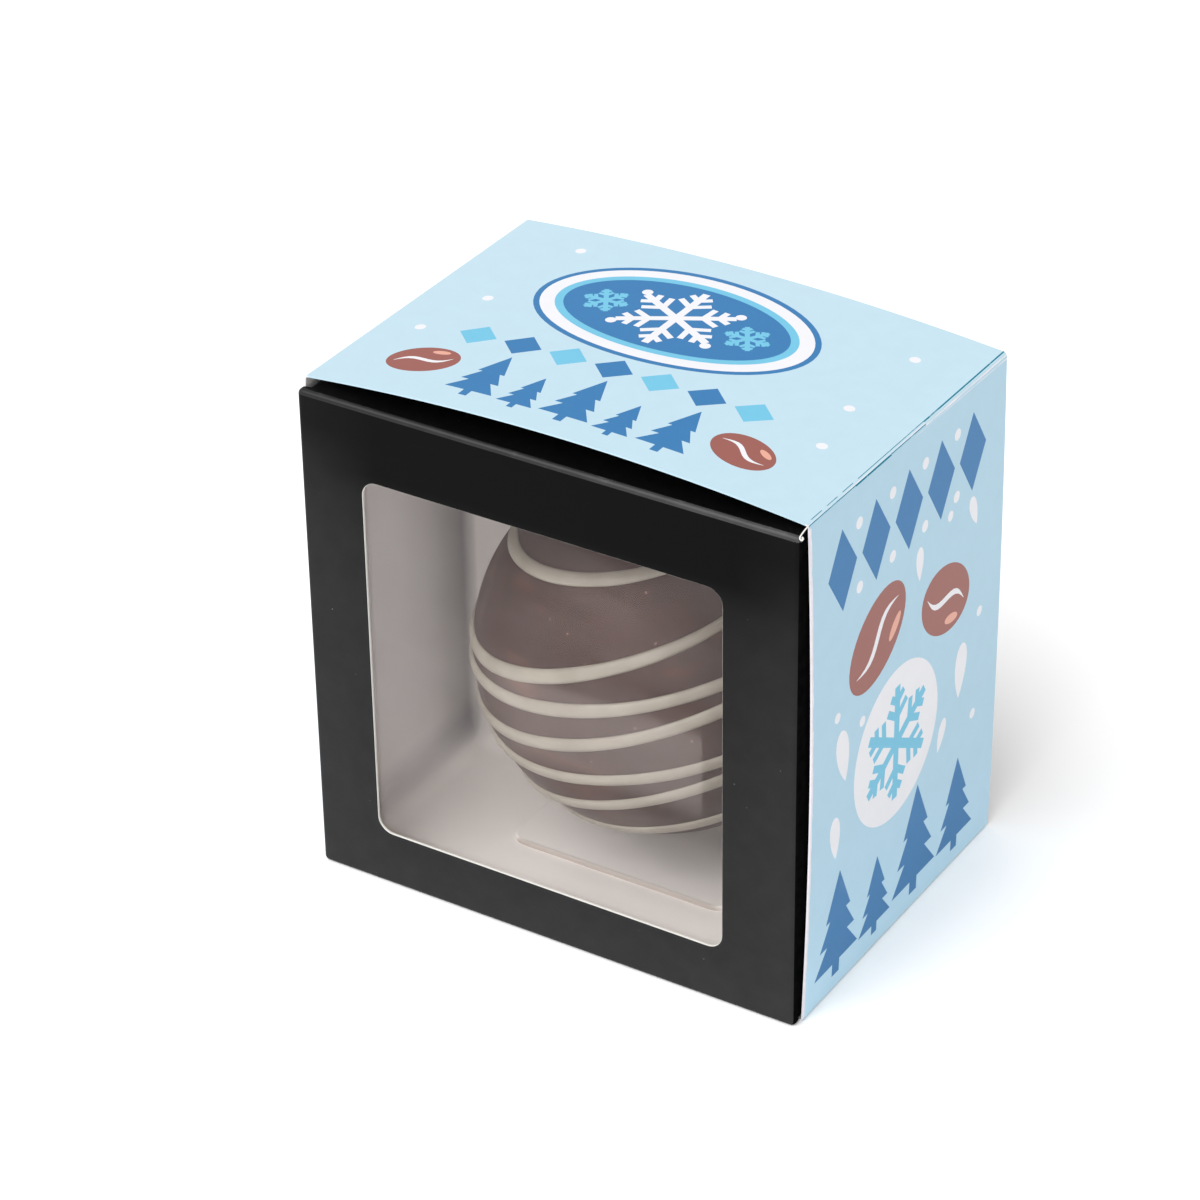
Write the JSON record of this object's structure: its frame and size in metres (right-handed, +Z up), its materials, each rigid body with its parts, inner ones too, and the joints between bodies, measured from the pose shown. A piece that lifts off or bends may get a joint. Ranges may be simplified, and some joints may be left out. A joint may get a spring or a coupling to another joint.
{
  "type": "boxed hot chocolate sphere",
  "caption": "Hot chocolate sphere with cream drizzle, seated in a white moulded tray inside a shut black window carton with a pale blue sleeve.",
  "frame": {"origin": "centre of the pack's base, on the surface it stands on", "axes": "+X to the right of the window as seen from the front, -Y out of the window, +Z up"},
  "size_m": [0.0902, 0.064, 0.0919],
  "materials": {
    "sleeve": "satin print on pale blue",
    "carton": "satin black",
    "window_film": "clear plastic film",
    "tray": "soft white moulded plastic",
    "chocolate_sphere": "milk chocolate with cream drizzle"
  },
  "bodies": {
    "root": {"sleeve": "sleeve", "carton": "carton", "window_film": "window_film", "tray": "tray", "chocolate_sphere": "chocolate_sphere"}
  },
  "joints": []
}
